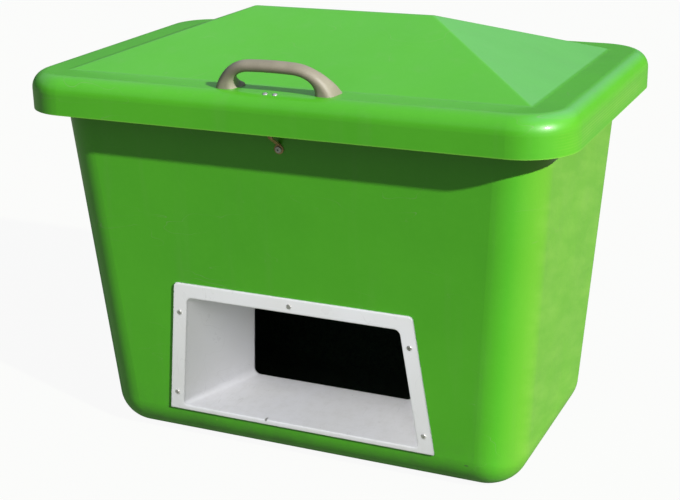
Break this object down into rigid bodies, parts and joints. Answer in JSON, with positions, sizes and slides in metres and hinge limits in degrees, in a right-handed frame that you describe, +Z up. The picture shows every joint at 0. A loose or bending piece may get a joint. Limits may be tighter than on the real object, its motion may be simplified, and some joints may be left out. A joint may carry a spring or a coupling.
{
  "type": "grit and salt bin",
  "caption": "Tapered plastic grit bin with an overlapping hinged hip-roof lid, lift handle and a white dispensing chute set into the front",
  "frame": {"origin": "on the floor, under the middle of the tub's flat base", "axes": "+X to the right as seen from the front, where the chute and the handle are; +Y to the rear, where the hinges are; +Z up"},
  "size_m": [0.89, 0.564, 0.699],
  "materials": {
    "green_laminate": "gloss gel-coat, slightly uneven",
    "white_laminate": "gloss gel-coat",
    "grey_beige_plastic": "satin moulded",
    "stainless_steel": "satin",
    "zinc_plated_steel": "yellow-passivated zinc",
    "brass": "plain machined"
  },
  "bodies": {
    "tub": {"tub_shell": "green_laminate", "chute": "white_laminate", "chute_screws": "stainless_steel", "chute_washers": "stainless_steel", "chute_nuts": "stainless_steel", "tub_lock_eye": "zinc_plated_steel", "lock_eye_bolt": "stainless_steel", "lock_eye_washer": "stainless_steel", "lock_eye_nut": "stainless_steel", "hinge_tub_leaf_left": "stainless_steel", "hinge_tub_leaf_right": "stainless_steel", "hinge_pin_left": "stainless_steel", "hinge_pin_right": "stainless_steel", "hinge_bolts": "stainless_steel", "hinge_bolt_washers": "stainless_steel", "hinge_bolt_nuts": "stainless_steel", "stay_tub_bracket": "stainless_steel", "stay_bracket_bolts": "stainless_steel", "stay_bracket_washers": "stainless_steel", "stay_bracket_nuts": "stainless_steel", "stay_guide_bolt": "stainless_steel", "stay_guide_nut": "stainless_steel", "stay_guide_spacer": "stainless_steel"},
    "lid": {"lid_shell": "green_laminate", "lift_handle": "grey_beige_plastic", "handle_screws": "stainless_steel", "handle_washers": "stainless_steel", "handle_inserts": "brass", "lid_lock_strip": "zinc_plated_steel", "lock_strip_rivets": "stainless_steel", "hinge_lid_leaf_left": "stainless_steel", "hinge_lid_leaf_right": "stainless_steel", "hinge_rivets": "stainless_steel", "stay_lid_bracket": "stainless_steel", "stay_pivot_pin": "stainless_steel", "stay_pivot_spacer": "stainless_steel"},
    "stay": {"stay_arm": "stainless_steel"}
  },
  "joints": [
    {"name": "lid_hinge", "type": "hinge", "parent": "tub", "child": "lid", "pos_m": [0, 0.272, 0.5565], "axis": [-1, 0, 0], "range_deg": [0, 95]},
    {"name": "stay_swing", "type": "hinge", "parent": "lid", "child": "stay", "pos_m": [0.3709, 0.07753, 0.60319], "axis": [1, 0, 0], "range_deg": [0, 47.5]}
  ],
  "couplings": [
    {"joint": "stay_swing", "follows": "lid_hinge", "ratio": 0.5}
  ]
}
